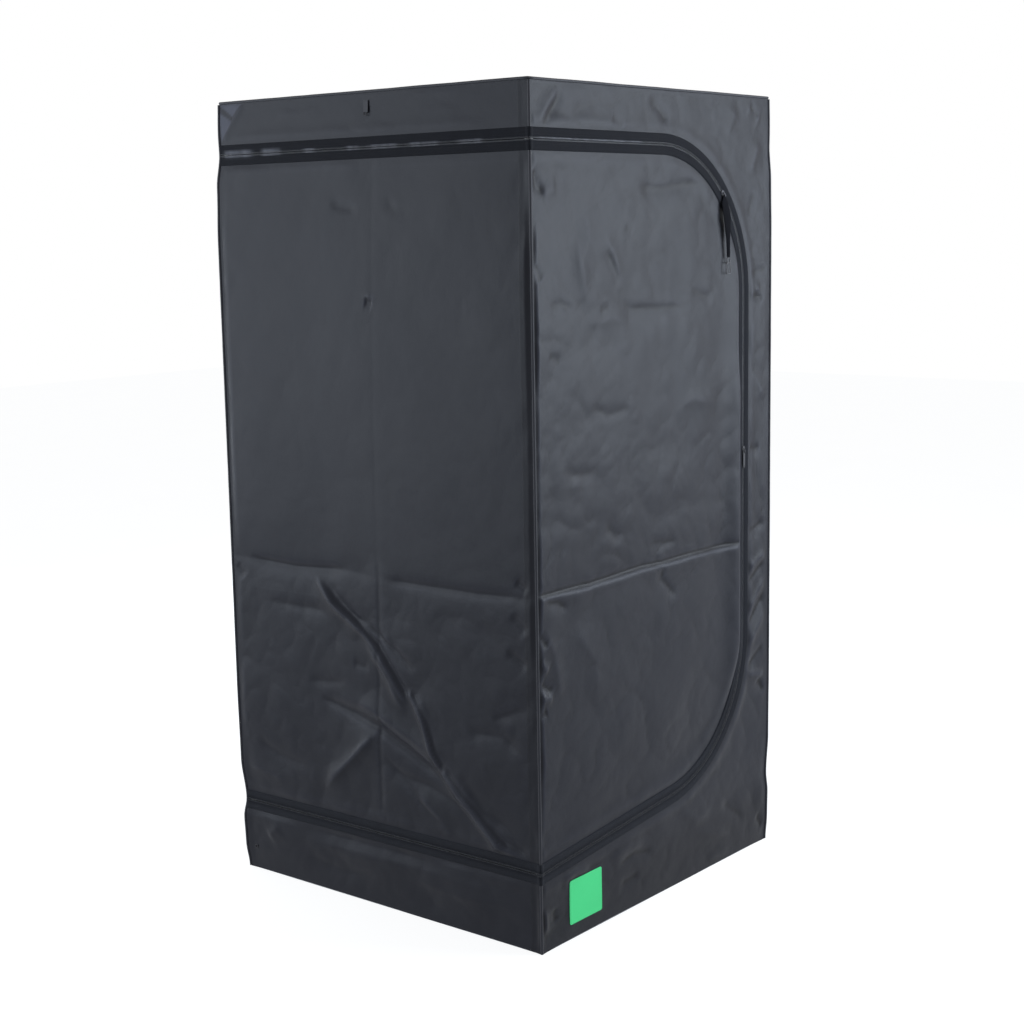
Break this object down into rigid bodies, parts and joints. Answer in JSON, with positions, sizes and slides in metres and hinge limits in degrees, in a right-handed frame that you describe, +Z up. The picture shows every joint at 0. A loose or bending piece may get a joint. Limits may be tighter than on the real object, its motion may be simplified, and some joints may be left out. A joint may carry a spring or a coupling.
{
  "type": "indoor grow tent",
  "caption": "Square indoor grow tent: canvas cover on a tube frame, with one zipped door that wraps the front and left faces, ports, a vent and a floor tray.",
  "frame": {"origin": "on the ground at the middle of the footprint", "axes": "+Z up, front face with the curved zip towards -Y, left face with the rest of the door towards -X"},
  "size_m": [1.006, 1.006, 2],
  "materials": {
    "canvas": "dark blue-grey coated woven canvas, soft satin sheen",
    "lining": "silver reflective film with a fine diamond emboss",
    "piping": "dark woven binding tape",
    "zip_tape": "dark knitted tape with a nylon coil chain",
    "ribbon": "dark woven webbing",
    "frame_steel": "white powder coat, satin",
    "connector_plastic": "black moulded nylon, matte",
    "slider_metal": "black enamel on zinc, worn at the edges",
    "vent_mesh": "fine black mesh",
    "label_green": "bright green woven patch"
  },
  "bodies": {
    "root": {"corner_connector_bottom_front_left": "connector_plastic", "corner_connector_bottom_front_right": "connector_plastic", "corner_connector_bottom_rear_left": "connector_plastic", "corner_connector_bottom_rear_right": "connector_plastic", "corner_connector_top_front_left": "connector_plastic", "corner_connector_top_front_right": "connector_plastic", "corner_connector_top_rear_left": "connector_plastic", "corner_connector_top_rear_right": "connector_plastic", "post_lower_front_left": "frame_steel", "post_lower_front_right": "frame_steel", "post_lower_rear_left": "frame_steel", "post_lower_rear_right": "frame_steel", "post_upper_front_left": "frame_steel", "post_upper_front_right": "frame_steel", "post_upper_rear_left": "frame_steel", "post_upper_rear_right": "frame_steel", "bottom_rail_front": "frame_steel", "bottom_rail_rear": "frame_steel", "bottom_rail_left": "frame_steel", "bottom_rail_right": "frame_steel", "top_rail_front": "frame_steel", "top_rail_rear": "frame_steel", "top_rail_left": "frame_steel", "top_rail_right": "frame_steel", "roof_panel": "canvas", "floor_panel": "lining", "front_surround": "canvas", "side_top_band": "canvas", "side_skirt": "canvas", "rear_panel": "canvas", "right_panel": "canvas", "corner_piping_front_right": "piping", "corner_piping_rear_left": "piping", "corner_piping_rear_right": "piping", "near_corner_piping_top": "piping", "near_corner_piping_bottom": "piping", "top_edge_piping": "piping", "zip_tape_frame_front": "zip_tape", "zip_tape_frame_side_top": "zip_tape", "zip_tape_frame_side_bottom": "zip_tape", "duct_sleeve_rear": "canvas", "duct_sleeve_right": "canvas", "cable_sleeve": "canvas", "vent_mesh": "vent_mesh", "floor_tray": "lining", "label_patch": "label_green", "door_tie_loop": "ribbon"},
    "door_side": {"door_side_panel": "canvas", "door_corner_piping": "piping", "zip_tape_door_side_top": "zip_tape", "zip_tape_door_side_bottom": "zip_tape"},
    "door_front": {"door_front_panel": "canvas", "zip_tape_door_front": "zip_tape"},
    "slider_upper": {"zip_slider_upper": "slider_metal"},
    "pull_upper": {"zip_pull_upper": "ribbon"},
    "slider_lower": {"zip_slider_lower": "slider_metal"},
    "pull_lower": {"zip_pull_lower": "slider_metal"},
    "bar_front": {"hanging_bar_front": "frame_steel"},
    "bar_rear": {"hanging_bar_rear": "frame_steel"},
    "flap": {"vent_flap": "canvas"}
  },
  "joints": [
    {"name": "door_side_swing", "type": "hinge", "parent": "root", "child": "door_side", "pos_m": [-0.4965, 0.4965, 1.03], "axis": [0, 0, -1], "range_deg": [0, 175]},
    {"name": "door_front_swing", "type": "hinge", "parent": "door_side", "child": "door_front", "pos_m": [-0.4965, -0.4965, 1.03], "axis": [0, 0, -1], "range_deg": [0, 175]},
    {"name": "zip_upper_travel", "type": "hinge", "parent": "door_front", "child": "slider_upper", "pos_m": [0.007, -0.4965, 1.5], "axis": [0, -1, 0], "range_deg": [-41, 45]},
    {"name": "zip_pull_upper_swing", "type": "hinge", "parent": "slider_upper", "child": "pull_upper", "pos_m": [0.27614, -0.5023, 1.75098], "axis": [-0.9781, 0, -0.2079], "range_deg": [0, 170]},
    {"name": "zip_lower_travel", "type": "slide", "parent": "door_front", "child": "slider_lower", "axis": [0, 0, 1], "range_m": [-0.465, 0.2]},
    {"name": "zip_pull_lower_swing", "type": "hinge", "parent": "slider_lower", "child": "pull_lower", "pos_m": [0.375, -0.5023, 1.093], "axis": [-1, 0, 0], "range_deg": [0, 170]},
    {"name": "bar_front_slide", "type": "slide", "parent": "root", "child": "bar_front", "axis": [0, 1, 0], "range_m": [-0.25, 0.18]},
    {"name": "bar_rear_slide", "type": "slide", "parent": "root", "child": "bar_rear", "axis": [0, 1, 0], "range_m": [-0.18, 0.25]},
    {"name": "vent_flap_lift", "type": "hinge", "parent": "root", "child": "flap", "pos_m": [0, 0.4978, 0.44], "axis": [1, 0, 0], "range_deg": [0, 170]}
  ]
}
